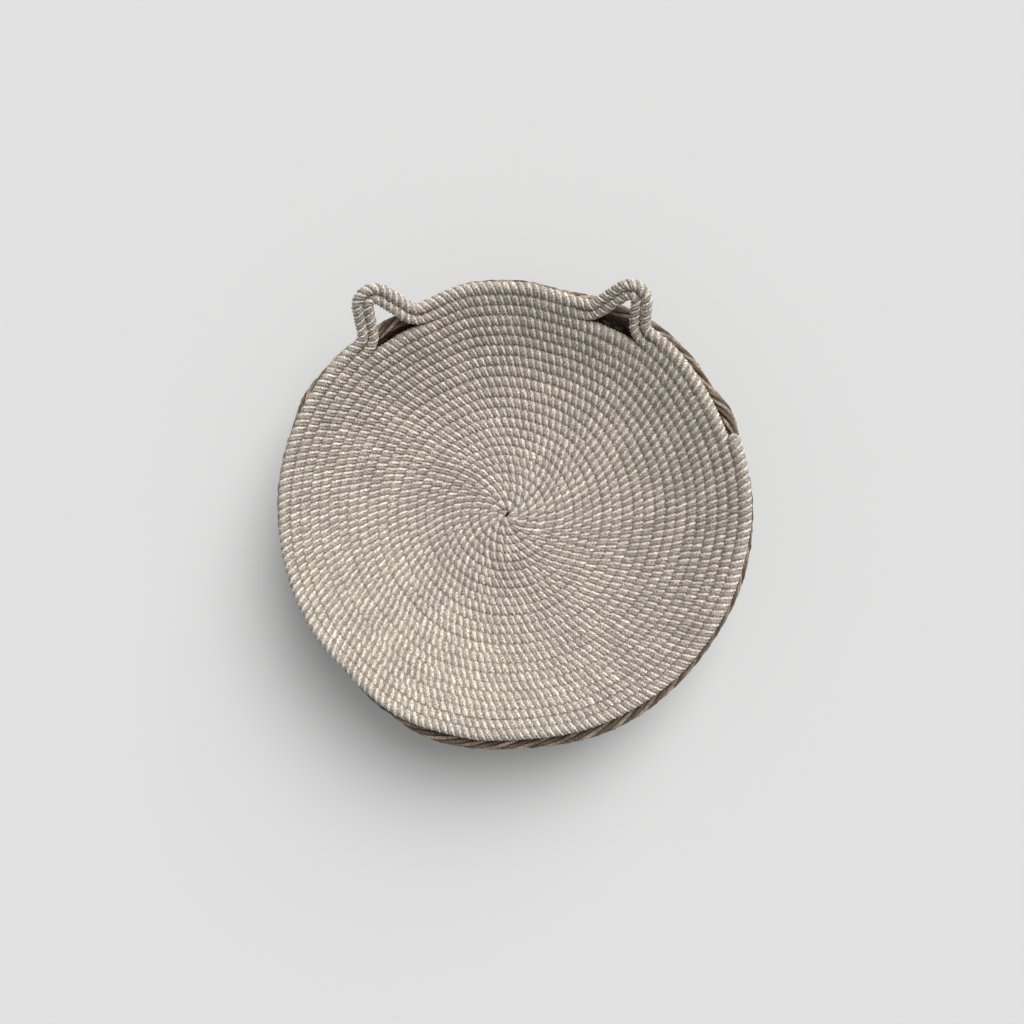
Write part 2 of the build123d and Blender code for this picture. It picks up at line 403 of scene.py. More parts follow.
@dataclass
class Route:
    """A cord's line and, at each point, which way is up on it and how it is pressed.

    Attributes:
        points: The line.
        ups: Direction that counts as up at each point.
        widths: Width towards the inside and the outside, as a share of the cord's diameter.
        limits: Half width towards each side at which the row beside it presses the cord flat.
        closed: True when the line's end joins its start.
    """

    points: Array
    ups: Array
    widths: Array
    limits: Array
    closed: bool = False

    def length(self) -> float:
        """Length of the line in metres."""
        return float(norm(np.diff(self.points, axis=0), axis=1).sum())

    def resampled(self, step: float) -> "Route":
        """Evenly spaced copy of the route.

        Args:
            step: Spacing in metres, adjusted so that a whole number of steps fits.

        Returns:
            The new route. A closed route doesn't repeat its first point.
        """
        table = np.column_stack([self.points, self.ups, self.widths, self.limits])
        if self.closed:
            table = np.vstack([table, table[:1]])
        points = table[:, :3]
        along = np.concatenate([[0], np.cumsum(norm(np.diff(points, axis=0), axis=1))])
        count = max(int(round(along[-1] / step)), 3)
        at = np.linspace(0, along[-1], count + 1)
        if self.closed:
            at = at[:-1]
        new = np.column_stack([np.interp(at, along, column) for column in table.T])
        return Route(new[:, :3], new[:, 3:6], new[:, 6:8], new[:, 8:10], self.closed)

    def part(self, start: int, stop: int) -> "Route":
        """Open stretch of the route from one point's index to another's."""
        span = slice(start, stop)
        return Route(self.points[span], self.ups[span], self.widths[span], self.limits[span])

    @classmethod
    def free(cls, points: Array, ups: Array, closed: bool = False) -> "Route":
        """Route of a cord that nothing presses."""
        even = np.ones((len(points), 2))
        return cls(points, ups, even, even, closed)


@dataclass(frozen=True)
class Cord:
    """Section of a laid cord and how its strands wind.

    Attributes:
        diameter: Over the crowns of the strands.
        strands: Number of strands.
        lay: Length in which a strand goes once round, positive when it winds towards the outside.
        depth: Depth of the grooves as a share of the radius.
        per_strand: Section points on each strand.
        step: Spacing of the sections.
        unevenness: Swelling of the yarns as a share of the radius.
        seed: Seed of that swelling.
    """

    diameter: float
    strands: int
    lay: float
    depth: float = 0.2
    per_strand: int = 5
    step: float = 0.0009
    unevenness: float = 0.0
    seed: int = 1

    def section(self) -> tuple[Array, Array]:
        """Angles and radii of the section's points; each strand starts and ends in a groove."""
        count = self.strands * self.per_strand
        turn = np.arange(count) / count
        across = np.abs(((turn * self.strands) % 1.0) * 2 - 1)
        radius = self.diameter / 2 * (1 - self.depth * across**CROWN_POWER)
        return turn * TAU, radius

    def mesh(self, name: str, route: Route, start: float = 0.0, tapers: Pair = (0.0, 0.0),
             whole_turns: bool = False) -> Object:
        """Sweep the section along a route.

        Args:
            name: Name of the new piece.
            route: Evenly spaced line to follow.
            start: Length of cord that lies before the route, for the strands' phase.
            tapers: Length over which the first and last end are rounded off.
            whole_turns: Round the lay so that a closed cord's strands meet.

        Returns:
            The new mesh object, smooth shaded, with its UV map.
        """
        points, ups = route.points, route.ups
        count = len(points)
        if route.closed:
            ahead = np.roll(points, -1, axis=0) - np.roll(points, 1, axis=0)
            total = norm(np.roll(points, -1, axis=0) - points, axis=1).sum()
        else:
            ahead = np.gradient(points, axis=0)
            total = route.length()
        ahead /= norm(ahead, axis=1)[:, None]
        side = np.cross(ahead, ups)
        side /= norm(side, axis=1)[:, None]
        up = np.cross(side, ahead)
        steps = norm(np.diff(points, axis=0), axis=1)
        along = np.concatenate([[0], np.cumsum(steps)])
        turns_per_metre = 1 / self.lay
        if whole_turns:
            turns_per_metre = round(total * turns_per_metre * self.strands) / self.strands / total
        angles, radii = self.section()
        phase = TAU * turns_per_metre * (along + start)
        theta = phase[:, None] + angles[None, :]
        shrink = np.ones(count)
        for length, distance in ((tapers[0], along), (tapers[1], along[-1] - along)):
            if length > 0:
                near = np.clip(distance / length, 0, 1)
                shrink *= np.sqrt(np.clip(1 - (1 - near) ** 2, TAPER_FLOOR, 1))
        swell = np.random.default_rng(self.seed).normal(0, self.unevenness, (count, len(angles)))
        swell = SWELL_KEPT * swell + (1 - SWELL_KEPT) * np.roll(swell, 1, axis=0)
        radius = radii[None, :] * (1 + swell) * shrink[:, None]
        outside = np.sin(theta) > 0
        across = radius * np.sin(theta) * np.where(outside, route.widths[:, 1:], route.widths[:, :1])
        limit = np.where(outside, route.limits[:, 1:], route.limits[:, :1])
        press = np.abs(across) / limit
        across = np.clip(across, -limit, limit)
        above = radius * np.cos(theta)
        verts = points[:, None, :] + across[..., None] * side[:, None, :] + above[..., None] * up[:, None, :]
        ring = len(angles)
        rows = count if route.closed else count - 1
        i = np.arange(rows)[:, None]
        k = np.arange(ring)[None, :]
        nxt, knx = (i + 1) % count, (k + 1) % ring
        shift = 0
        if route.closed:
            shift = int(round(total * turns_per_metre * self.strands)) * self.per_strand
        turn_on = np.where(i + 1 == count, shift, 0)
        faces = np.stack([i * ring + k, i * ring + knx, nxt * ring + (knx + turn_on) % ring,
                          nxt * ring + (k + turn_on) % ring], axis=-1).reshape(-1, 4)
        here = (along[:rows] + start)[:, None]
        there = here + total / rows
        us, vs = (np.broadcast_to(np.stack(four, axis=-1), (rows, ring, 4)).reshape(-1) for four in (
            (k / ring, (k + 1) / ring, (k + 1) / ring, k / ring), (here, here, there, there)))
        flat = verts.reshape(-1, 3)
        mesh = bpy.data.meshes.new(name)
        if route.closed:
            mesh.from_pydata(flat.tolist(), [], faces.tolist())
            caps = 0
        else:
            ends = np.vstack([points[0], points[-1]])
            first, last = len(flat), len(flat) + 1
            low = [(first, (j + 1) % ring, j) for j in range(ring)]
            base = (count - 1) * ring
            high = [(last, base + j, base + (j + 1) % ring) for j in range(ring)]
            mesh.from_pydata(np.vstack([flat, ends]).tolist(), [], faces.tolist() + low + high)
            caps = 2 * ring
        layer = mesh.uv_layers.new(name="lay")
        coords = np.zeros((len(mesh.loops), 2), dtype=np.float32)
        used = len(faces) * 4
        coords[:used, 0], coords[:used, 1] = us, vs
        if caps:
            end_us = np.repeat((np.arange(ring) + 0.5) / ring, 3)
            coords[used:, 0] = np.concatenate([end_us, end_us])
            coords[used:, 1] = np.repeat([start, start + total], 3 * ring)
        layer.data.foreach_set("uv", coords.ravel())
        pressed = np.zeros(len(mesh.vertices), dtype=np.float32)
        pressed[:press.size] = press.ravel()
        mesh.attributes.new("press", "FLOAT", "POINT").data.foreach_set("value", pressed)
        mesh.polygons.foreach_set("use_smooth", [True] * len(mesh.polygons))
        mesh.update()
        piece = bpy.data.objects.new(name, mesh)
        bpy.context.scene.collection.objects.link(piece)
        return piece


def dress(piece: Object, body: Body, material: Material,
          nodes: tuple[str, ...] = ()) -> None:
    """Give a piece its material, body and the CAD nodes that it stands for.

    Args:
        piece: The new mesh object.
        body: Body that it rides on.
        material: Its material.
        nodes: CAD nodes that it replaces.
    """
    piece.data.materials.clear()
    piece.data.materials.append(material)
    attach(piece, body.value)
    if nodes:
        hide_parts(*nodes)
    log.info("%s: %d faces on %s", piece.name, len(piece.data.polygons), body.value)


def about(azimuth: Array, radius: Array | float, height: Array | float) -> Array:
    """Points at azimuths about the upright middle axis."""
    return np.column_stack([radius * np.cos(azimuth), radius * np.sin(azimuth), height + 0 * azimuth])


def leaning(azimuth: Array, lean: Array | float) -> Array:
    """Directions that lean from straight up towards the middle axis."""
    return about(azimuth, -np.sin(lean), np.cos(lean))


def between(azimuth: Array, stations: Stations) -> Array:
    """Smooth closed curve through values given at a few places round a ring.

    Args:
        azimuth: Angles in radians.
        stations: Azimuth in degrees and value in millimetres, in order round the ring.

    Returns:
        The value in metres at each angle.
    """
    marks = np.array([place for place, _ in stations] + [stations[0][0] + 360])
    values = np.array([value for _, value in stations] + [stations[0][1]]) * MM
    at = (np.degrees(azimuth) - marks[0]) % 360 + marks[0]
    i = np.clip(np.searchsorted(marks, at, side="right") - 1, 0, len(stations) - 1)
    share = (at - marks[i]) / (marks[i + 1] - marks[i])
    return values[i] + (values[i + 1] - values[i]) * share**2 * (3 - 2 * share)


def rounded(corners: list[Array], radii: list[float], step: float) -> Array:
    """Line through corners with each inner corner rounded by an arc.

    Args:
        corners: Corner points.
        radii: One radius for each inner corner.
        step: Spacing of points on the arcs.

    Returns:
        The points of the line.
    """
    line = [corners[0]]
    for i, radius in enumerate(radii, start=1):
        back = corners[i - 1] - corners[i]
        on = corners[i + 1] - corners[i]
        back, on = back / norm(back), on / norm(on)
        half = math.acos(float(np.clip(back @ on, -1, 1))) / 2
        centre_way = (back + on) / norm(back + on)
        centre = corners[i] + centre_way * radius / math.sin(half)
        first = corners[i] + back * radius / math.tan(half) - centre
        last = corners[i] + on * radius / math.tan(half) - centre
        sweep = math.pi - 2 * half
        count = max(int(radius * sweep / step), 3)
        for t in np.linspace(0, 1, count + 1):
            arm = math.sin((1 - t) * sweep) * first + math.sin(t * sweep) * last
            line.append(centre + arm / math.sin(sweep))
    line.append(corners[-1])
    return np.array(line)


def smoothed(values: Array, passes: int) -> Array:
    """Smooth rows of a table along its length, with its ends kept."""
    for _ in range(passes):
        values[1:-1] = 0.25 * values[:-2] + 0.5 * values[1:-1] + 0.25 * values[2:]
    return values


# ---- seat


@dataclass(frozen=True)
class Ear:
    """Cat ear raised from the rim's two rows.

    Attributes:
        azimuth: Middle of its base.
        half_base: Half the width of its base along the inner row.
        height: From its base to its sharp tip, along its own slope.
        lean: How far its tip stands aside, positive towards larger azimuths.
        tip_round: Radius of the inner rope's bend at the tip.
    """

    azimuth: float
    half_base: float
    height: float
    lean: float
    tip_round: float


@dataclass
class Seat:
    """Shallow bowl coiled from one rope, with two ears raised from its last two rows.

    Attributes:
        start_place: Where the coil's middle lies beside the rim's middle.
        ear_run: Angle over which a rope leaves its row towards an ear's foot.
        ear_length: Rope that the two ears take up in one turn.
        rim_offsets, rim_rise: Azimuth in degrees, and millimetres by which the rim strays outwards or up.
        free_from: Turns before the rope's end at which its outer side comes free of a next row.
        splits: Radii at which one stretch of the rope gives way to the next.
    """

    rope: Cord = Cord(diameter=9.8 * MM, strands=4, lay=13.0 * MM, depth=0.24, unevenness=0.05)
    dome_radius: float = 62.0 * MM
    dome_height: float = 3.5 * MM
    bowl_radius: float = 160.0 * MM
    wall_slope: float = math.radians(38)
    centre_pitch: float = 8.1 * MM
    wall_pitch: float = 9.6 * MM
    pitch_from: float = 55 * MM
    pitch_to: float = 125 * MM
    start_radius: float = 0.5 * MM
    start_place: Pair = (-8.0 * MM, -2.7 * MM)
    end_azimuth: float = math.radians(17.5)
    ears: tuple[Ear, ...] = (Ear(math.radians(59.7), 18.9 * MM, 43.2 * MM, -3.0 * MM, 5.2 * MM),
                             Ear(math.radians(121.2), 19.2 * MM, 49.6 * MM, 2.4 * MM, 5.5 * MM))
    ear_tilt: float = math.radians(40)
    ear_foot_round: float = 18.0 * MM
    ear_pitch: float = 8.8 * MM
    ear_width: float = 0.98
    ear_run: float = math.radians(5)
    ear_length: float = 0.06
    turn_points: int = 900
    line_passes: int = 12
    tilt_passes: int = 40
    wobble: float = 0.25 * MM
    wobble_waves: Triple = (1.37, 0.8, 0.31)
    wobble_from: float = 0.05
    start_taper: float = 3 * MM
    end_taper: float = 6 * MM
    rim_growth: float = 3.2 * MM
    rim_offsets: Stations = (
        (0, 0.0), (24, -0.5), (47, 2.5), (62, -1.6), (73, -3.0), (88, 1.0), (100, 3.0), (113, -0.8),
        (122, 0.6), (133, 3.5), (160, 4.4), (185, 3.4), (206, 2.4), (220, 0.0), (238, 1.8), (254, -1.6),
        (272, -5.2), (292, -4.0), (318, -2.8), (342, -1.6))
    rim_rise: Stations = (
        (20, 0.8), (75, -0.4), (150, 1.2), (210, -0.2), (275, -1.0), (330, 0.2))
    pressed_width: float = 1.42
    free_width: float = 1.08
    free_from: float = 1.05
    free_fade: float = 0.05
    overlap: float = 0.9 * MM
    core_overlap: float = 3.0
    splits: tuple[float, ...] = (62.0 * MM, 111.2 * MM, 137.0 * MM, 160.0 * MM)

    def __post_init__(self) -> None:
        """Read the rim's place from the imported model."""
        low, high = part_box("rim_outer_row_front")
        self.rim_z = (low[2] + high[2]) / 2
        self.rim_radius = -low[1] - (high[2] - low[2]) / 2
        self.bowl_arc = (self.bowl_radius - self.dome_radius) / math.sin(self.wall_slope)
        self.low_z = self.rim_z - self.bowl_arc * (1 - math.cos(self.wall_slope))
        self.low_z -= (self.rim_radius - self.bowl_radius) * math.tan(self.wall_slope)

    def height(self, radius: Array) -> Array:
        """Height of the coil's middle surface."""
        turn = np.clip(radius / self.dome_radius, 0, 1)
        dome = self.dome_height * np.cos(turn * math.pi / 2) ** 2
        inside = np.clip(radius - self.dome_radius, 0, self.bowl_radius - self.dome_radius)
        bowl = self.bowl_arc - np.sqrt(self.bowl_arc**2 - inside**2)
        wall = np.clip(radius - self.bowl_radius, 0, None) * math.tan(self.wall_slope)
        return self.low_z + dome + bowl + wall

    def slope(self, radius: Array) -> Array:
        """Slope of the middle surface in radians."""
        inside = np.clip(radius - self.dome_radius, 0, self.bowl_radius - self.dome_radius)
        turn = np.clip(radius / self.dome_radius, 0, 1)
        dome = -self.dome_height * math.pi / (2 * self.dome_radius) * np.sin(turn * math.pi)
        return np.arcsin(inside / self.bowl_arc) + dome

    def pitch(self, radius: Array) -> Array:
        """Spacing of the rows along the bowl: tighter in the middle, where the rope is squeezed."""
        t = np.clip((radius - self.pitch_from) / (self.pitch_to - self.pitch_from), 0, 1)
        return self.centre_pitch + (self.wall_pitch - self.centre_pitch) * t * t * (3 - 2 * t)

    def spiral(self) -> tuple[Array, Array]:
        """Azimuth and radius of the rope from the middle out to its end."""
        radius, radii = self.start_radius, [self.start_radius]
        end = self.rim_radius + self.rim_growth
        while radius < end:
            lean = math.cos(float(self.slope(np.array(radius))))
            radius += float(self.pitch(np.array(radius))) * lean / self.turn_points
            radii.append(radius)
        azimuth = np.arange(len(radii)) * TAU / self.turn_points
        azimuth += self.end_azimuth - azimuth[-1]
        return azimuth, np.array(radii)

    def shaped(self, azimuth: Array, radius: Array) -> tuple[Array, Array]:
        """Points and ups on the bowl, with the hand-made unevenness of the rim worked in."""
        share = np.clip(radius / self.rim_radius, 0, 1) ** 2
        wave, drift, drift_wave = self.wobble_waves
        wobble = self.wobble * np.sin(azimuth * wave + drift * np.sin(azimuth * drift_wave))
        wobble *= np.clip(radius / self.wobble_from, 0, 1)
        r = radius + share * between(azimuth, self.rim_offsets) + wobble
        z = self.height(radius) + share * between(azimuth, self.rim_rise)
        lean = self.slope(radius)
        points = about(azimuth, r, z)
        points[:, :2] += (1 - share)[:, None] * np.array(self.start_place)
        return points, leaning(azimuth, lean)

    def ear_shape(self, ear: Ear, outer: bool) -> tuple[list[float], Pair, list[float]]:
        """Corners of one rope's line round an ear, laid flat.

        Args:
            ear: The ear.
            outer: True for the outer of the two ropes, which lies one pitch outside the inner one.

        Returns:
            Place of the two feet along the row, the tip's place along and above the row, and the three bend
            radii.
        """
        base, shift = (self.wall_pitch, self.ear_pitch) if outer else (0.0, 0.0)
        feet, legs = [], []
        for side in (-1, 1):
            run = np.array([ear.lean - side * ear.half_base, ear.height])
            away = np.array([side * run[1], -side * run[0]]) / norm(run)
            start = np.array([side * ear.half_base, 0.0]) + shift * away
            feet.append(float(start[0] + (base - start[1]) / run[1] * run[0]))
            legs.append((start, run))
        (left, up_left), (right, up_right) = legs
        share = np.linalg.solve(np.column_stack([up_left, -up_right]), right - left)[0]
        tip = left + share * up_left
        rounds = [self.ear_foot_round - shift, ear.tip_round + shift, self.ear_foot_round - shift]
        return feet, (float(tip[0]), float(tip[1] - base)), rounds

    def ear_line(self, ear: Ear, azimuth: float, radius: float,
                 outer: bool) -> tuple[Array, list[float]]:
        """Line of one rope round an ear.

        Args:
            ear: The ear.
            azimuth: Middle of the ear on the rope's own turn.
            radius: Radius of the rope's row there.
            outer: True for the outer of the two ropes.

        Returns:
            The line's points and the two azimuths where it leaves the row and comes back.
        """
        along, (tip_along, tall), rounds = self.ear_shape(ear, outer)
        foot = azimuth + np.arcsin(np.array(along) / radius)
        leaves = foot + self.ear_run * np.array([-1, 1])
        ends, _ = self.shaped(leaves, np.array([radius, radius]))
        feet, _ = self.shaped(foot, np.array([radius, radius]))
        feet[:, :2] /= math.cos(self.ear_run)
        tip_r = float(norm((feet[0, :2] + feet[1, :2]) / 2)) + tall * math.cos(self.ear_tilt)
        tip_way = azimuth + tip_along / tip_r
        tip = np.array([tip_r * math.cos(tip_way), tip_r * math.sin(tip_way),
                        feet[:, 2].mean() + tall * math.sin(self.ear_tilt)])
        return rounded([ends[0], feet[0], tip, feet[1], ends[1]], rounds, 1.0 * MM), leaves.tolist()

    def route(self) -> Route:
        """Whole line of the rope, ears included."""
        azimuth, radius = self.spiral()
        points, ups = self.shaped(azimuth, radius)
        aside = self.start_place[0] * np.cos(azimuth) + self.start_place[1] * np.sin(azimuth)
        spread = between(azimuth, self.rim_offsets) - aside
        pitch = self.pitch(radius) * (1 + 2 * radius / self.rim_radius**2 * spread)
        turns_left = (azimuth[-1] - azimuth) / TAU
        free = np.clip((self.free_from - turns_left) / self.free_fade, 0, 1)
        free = np.column_stack([0 * radius, free])
        widths = self.pressed_width + (self.free_width - self.pressed_width) * free
        widths *= pitch[:, None] / self.rope.diameter
        core = np.clip(1 - radius / self.centre_pitch, 0, 1)[:, None]
        limits = pitch[:, None] / 2 + self.overlap * (1 + self.core_overlap * core)
        limits = limits + free * self.rope.diameter
        keep = np.ones(len(azimuth), dtype=bool)
        inserts: list[tuple[int, Array, Array]] = []
        end = azimuth[-1]
        for row in (1, 0):
            for ear in self.ears:
                middle = end - TAU * (row + 1) + (ear.azimuth - self.end_azimuth)
                index = int(np.searchsorted(azimuth, middle))
                line, (low, high) = self.ear_line(ear, middle, float(radius[index]), outer=row == 0)
                inside = (azimuth > low) & (azimuth < high)
                keep &= ~inside
                spot = int(np.argmax(inside))
                way = np.arctan2(line[:, 1], line[:, 0])
                inserts.append((spot, line, leaning(way, self.ear_tilt)))
        table = np.column_stack([points, ups, widths, limits])
        rows, last = [], 0
        for spot, line, up in inserts:
            rows.append(table[last:spot][keep[last:spot]])
            round_rope = np.tile([self.ear_width] * 2 + [self.rope.diameter] * 2, (len(line), 1))
            rows.append(np.column_stack([line, up, round_rope]))
            last = spot
        rows.append(table[last:][keep[last:]])
        joined = np.vstack(rows)
        even = Route(joined[:, :3], joined[:, 3:6], joined[:, 6:8], joined[:, 8:]).resampled(self.rope.step)
        even.points = smoothed(even.points, self.line_passes)
        even.ups = smoothed(even.ups, self.tilt_passes)
        return even.resampled(self.rope.step)

    def cuts(self, route: Route) -> list[tuple[str, int, int]]:
        """Named stretches of the rope, each short enough for one mesh."""
        reach = np.hypot(route.points[:, 0], route.points[:, 1])
        marks = [0]
        for split in self.splits:
            marks.append(int(np.argmax(reach > split)))
        along = np.arange(len(reach)) * self.rope.step
        total = along[-1]
        rim = TAU * self.rim_radius + self.ear_length
        marks.append(int(np.argmax(along > total - 2 * rim)))
        marks.append(int(np.argmax(along > total - rim)))
        marks.append(len(reach))
        names = ["floor", "lower_bowl", "middle_bowl", "upper_bowl", "wall", "inner_rim", "outer_rim"]
        return [(name, a, b) for name, a, b in zip(names, marks, marks[1:])]

    def build(self, material: Material) -> None:
        """Model the rope in stretches and put each on the seat's body."""
        nodes = {
            "floor": ("seat_centre_coil", "seat_floor_coil"),
            "lower_bowl": ("seat_lower_bowl_coil",),
            "upper_bowl": ("seat_upper_bowl_coil",),
            "wall": ("seat_wall_coil",),
            "inner_rim": ("rim_inner_row_front", "rim_inner_row_back", "ear_left_inner_rope",
                          "ear_right_inner_rope"),
            "outer_rim": ("rim_outer_row_front", "rim_outer_row_side", "rim_outer_row_back",
                          "ear_left_outer_rope", "ear_right_outer_rope", "rope_end"),
        }
        route = self.route()
        for name, start, stop in self.cuts(route):
            last = stop == len(route.points)
            part = route.part(start, stop if last else stop + 2)
            tapers = (0.0 if start else self.start_taper, self.end_taper if last else 0.0)
            piece = self.rope.mesh(f"rope_{name}", part, start=start * self.rope.step, tapers=tapers)
            dress(piece, Body.SEAT, material, nodes.get(name, ()))


# ---- basket


@dataclass
class Basket:
    """Round wicker basket: woven base, foot wale, woven wall round uprights, and a rolled border.

    Attributes:
        stick_fan: Degrees by which the outer base sticks fan out from their cross.
        foot_overlap, border_overlap: How far the lower wale runs into the foot, and the upper one into
            the border.
        wall_give: Share of the border's unevenness that the wall's top takes.
        foot_spacing: Place of the foot's inner cord, in cord radii from the foot's edge.
        border_insets: Azimuth in degrees, and millimetres by which the border strays inwards.
    """

    wall_cord: Cord = Cord(6.8 * MM, strands=2, lay=26.0 * MM, depth=0.22, per_strand=6, step=2.0 * MM)
    wale_cord: Cord = Cord(6.4 * MM, strands=2, lay=24.0 * MM, depth=0.22, step=2.0 * MM)
    border_cord: Cord = Cord(11.6 * MM, strands=6, lay=-80.0 * MM, depth=0.42, per_strand=6, step=1.4 * MM,
                             unevenness=0.045)
    foot_cord: Cord = Cord(9.6 * MM, strands=5, lay=110.0 * MM, depth=0.28, step=2.0 * MM)
    base_cord: Cord = Cord(6.4 * MM, strands=2, lay=24.0 * MM, depth=0.2, step=2.2 * MM)
    ring_points: int = 2880
    base_points: int = 720
    uprights: int = 36
    rounds: int = 8
    base_start: float = 37 * MM
    base_pitch: float = 6.3 * MM
    base_swing: float = 2.6 * MM
    base_taper: float = 4 * MM
    stick_fan: float = 23.0
    rod_radius: float = 2.1 * MM
    weave_swing: float = 4.0 * MM
    weave_bend: float = 0.7
    round_wave: float = 0.4 * MM
    wave_count: int = 5
    wave_shift: float = 1.7
    wale_rods: int = 3
    wale_swing: float = 3.8 * MM
    foot_spacing: float = 2.9
    foot_overlap: float = 3.0 * MM
    border_overlap: float = 1.4 * MM
    wall_lean: float = 14 / 79
    wall_give: float = 0.5
    border_insets: Stations = (
        (0, -0.8), (14, 1.0), (22, -1.8), (31, 3.0), (38, 1.2), (48, 1.2), (60, 3.6), (75, 9.0), (88, 5.0),
        (99, 3.4), (111, 8.4), (125, 5.4), (138, 1.2), (149, -2.4), (158, 0.4), (170, 0.4), (192, 2.4),
        (219, 6.4), (233, 0.8), (247, -3.8), (272, 1.2), (294, -1.2), (322, 0.6), (344, -1.2))

    def __post_init__(self) -> None:
        """Read the places of wall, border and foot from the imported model."""
        low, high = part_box("rolled_border")
        self.border_z = low[2] + self.border_cord.diameter / 2
        self.border_radius = high[0] - self.border_cord.diameter / 2
        low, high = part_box("uprights")
        self.wall_low, self.wall_high = low[2], high[2]
        self.top_radius = high[0] - self.rod_radius
        self.foot_radius = self.top_radius - self.wall_lean * (self.wall_high - self.wall_low)
        self.foot_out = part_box("foot_wale")[1][0]
        self.turn = np.linspace(0, TAU, self.ring_points, endpoint=False)
        self.inset = between(self.turn, self.border_insets)

    def wall_radius(self, z: float) -> Array:
        """Radius of the wall at a height, with the border's unevenness growing towards the top."""
        share = (z - self.wall_low) / (self.wall_high - self.wall_low)
        give = self.wall_give * np.clip(share, 0, 1) * self.inset
        return self.foot_radius + (self.top_radius - self.foot_radius) * share - give

    def wind(self, cord: Cord, name: str, radius: Array | float, height: Array | float,
             material: Material, *nodes: str) -> None:
        """Wind a closed cord once round the basket.

        Args:
            cord: The cord.
            name: Name of the new piece.
            radius: Its line's radius at each of the basket's azimuths.
            height: Its line's height there.
            material: Its material.
            nodes: CAD nodes that it replaces.
        """
        points = about(self.turn, radius, height)
        route = Route.free(points, leaning(self.turn, 0.0), closed=True).resampled(cord.step)
        dress(cord.mesh(name, route, whole_turns=True), Body.BASKET, material, nodes)

    def build_border(self, material: Material) -> None:
        """Rolled border: long strands laid round the rim."""
        self.wind(self.border_cord, "border_roll", self.border_radius - self.inset, self.border_z, material,
                  "rolled_border")

    def build_wall(self, material: Material) -> None:
        """Rounds of cord woven in front of and behind the uprights by turns."""
        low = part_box("side_weave_1")[0][2]
        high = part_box(f"side_weave_{self.rounds}")[1][2]
        pitch = (high - low) / self.rounds
        for i in range(self.rounds):
            middle = low + (i + 0.5) * pitch
            phase = math.pi * i
            wave = np.cos(self.turn * self.uprights / 2 + phase)
            swing = self.weave_swing * np.sign(wave) * np.abs(wave) ** self.weave_bend
            height = middle + self.round_wave * np.sin(self.turn * self.wave_count + phase * self.wave_shift)
            self.wind(self.wall_cord, f"weave_round_{i + 1}", self.wall_radius(middle) + swing, height,
                      material, f"side_weave_{i + 1}")

    def build_wale(self, name: str, node: str, low: float, high: float, material: Material) -> None:
        """Three-rod wale: three cords that roll round each other and the uprights.

        Args:
            name: Start of the pieces' names.
            node: CAD node that they stand for.
            low: Lowest height.
            high: Highest height.
            material: Their material.
        """
        middle = (low + high) / 2
        rise = (high - low - self.wale_cord.diameter) / 2
        for k in range(self.wale_rods):
            roll = self.turn * self.uprights / self.wale_rods + TAU * k / self.wale_rods
            radius = self.wall_radius(middle) + self.wale_swing * np.cos(roll)
            self.wind(self.wale_cord, f"{name}_{k + 1}", radius, middle + rise * np.sin(roll), material,
                      *([] if k else [node]))

    def build_foot(self, material: Material) -> None:
        """Foot wale: two thick rolled cords side by side, both on the floor."""
        outer = self.foot_cord.diameter / 2
        for i, inset in enumerate((outer, outer * self.foot_spacing)):
            self.wind(self.foot_cord, f"foot_roll_{i + 1}", self.foot_out - inset, outer, material,
                      *([] if i else ["foot_wale"]))

    def build_base(self, material: Material) -> None:
        """Base weave: one spiral of cord under and over the base sticks, worked in two bands."""
        low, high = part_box("base_weave_outer")
        middle = (low[2] + high[2]) / 2
        radius = self.base_cord.diameter / 2
        bands = {"base_inner": "base_weave_inner", "base_outer": "base_weave_outer"}
        ends = [self.base_start] + [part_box(node)[1][0] - radius for node in bands.values()]
        fans = (0, self.stick_fan, 90 - self.stick_fan)
        angles = np.radians([quarter + fan for quarter in (0, 90, 180, 270) for fan in fans])
        marks = np.append(angles, TAU)
        crossings = np.append(np.arange(len(angles)), len(angles) + 1)
        for (name, node), near, far in zip(bands.items(), ends, ends[1:]):
            last = node == "base_weave_outer"
            first_turn, last_turn = (TAU * (r - self.base_start) / self.base_pitch for r in (near, far))
            a = np.arange(first_turn, last_turn + TAU * last, TAU / self.base_points)
            r = np.minimum(self.base_start + self.base_pitch * a / TAU, far)
            crossed = np.interp(a % TAU, marks, crossings) + crossings[-1] * (a // TAU)
            z = middle + self.base_swing * np.cos(math.pi * crossed)
            route = Route.free(about(a, r, z), leaning(a, 0.0)).resampled(self.base_cord.step)
            piece = self.base_cord.mesh(f"{name}_spiral", route, tapers=(self.base_taper, self.base_taper))
            dress(piece, Body.BASKET, material, (node,))

    def build(self, strand: Material, border: Material, rod: Material) -> None:
        """Build every part of the basket and dress the CAD rods."""
        for node in ("uprights", "base_sticks_lower", "base_sticks_upper"):
            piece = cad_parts[node]
            piece.data.materials.clear()
            piece.data.materials.append(rod)
        self.build_border(border)
        self.build_wall(strand)
        low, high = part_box("upset_wale")
        self.build_wale("foot_wale_rod", "upset_wale", low[2] - self.foot_overlap, high[2], strand)
        low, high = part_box("top_wale")
        self.build_wale("top_wale_rod", "top_wale", low[2], high[2] + self.border_overlap, strand)
        self.build_foot(border)
        self.build_base(strand)


# ---- thread


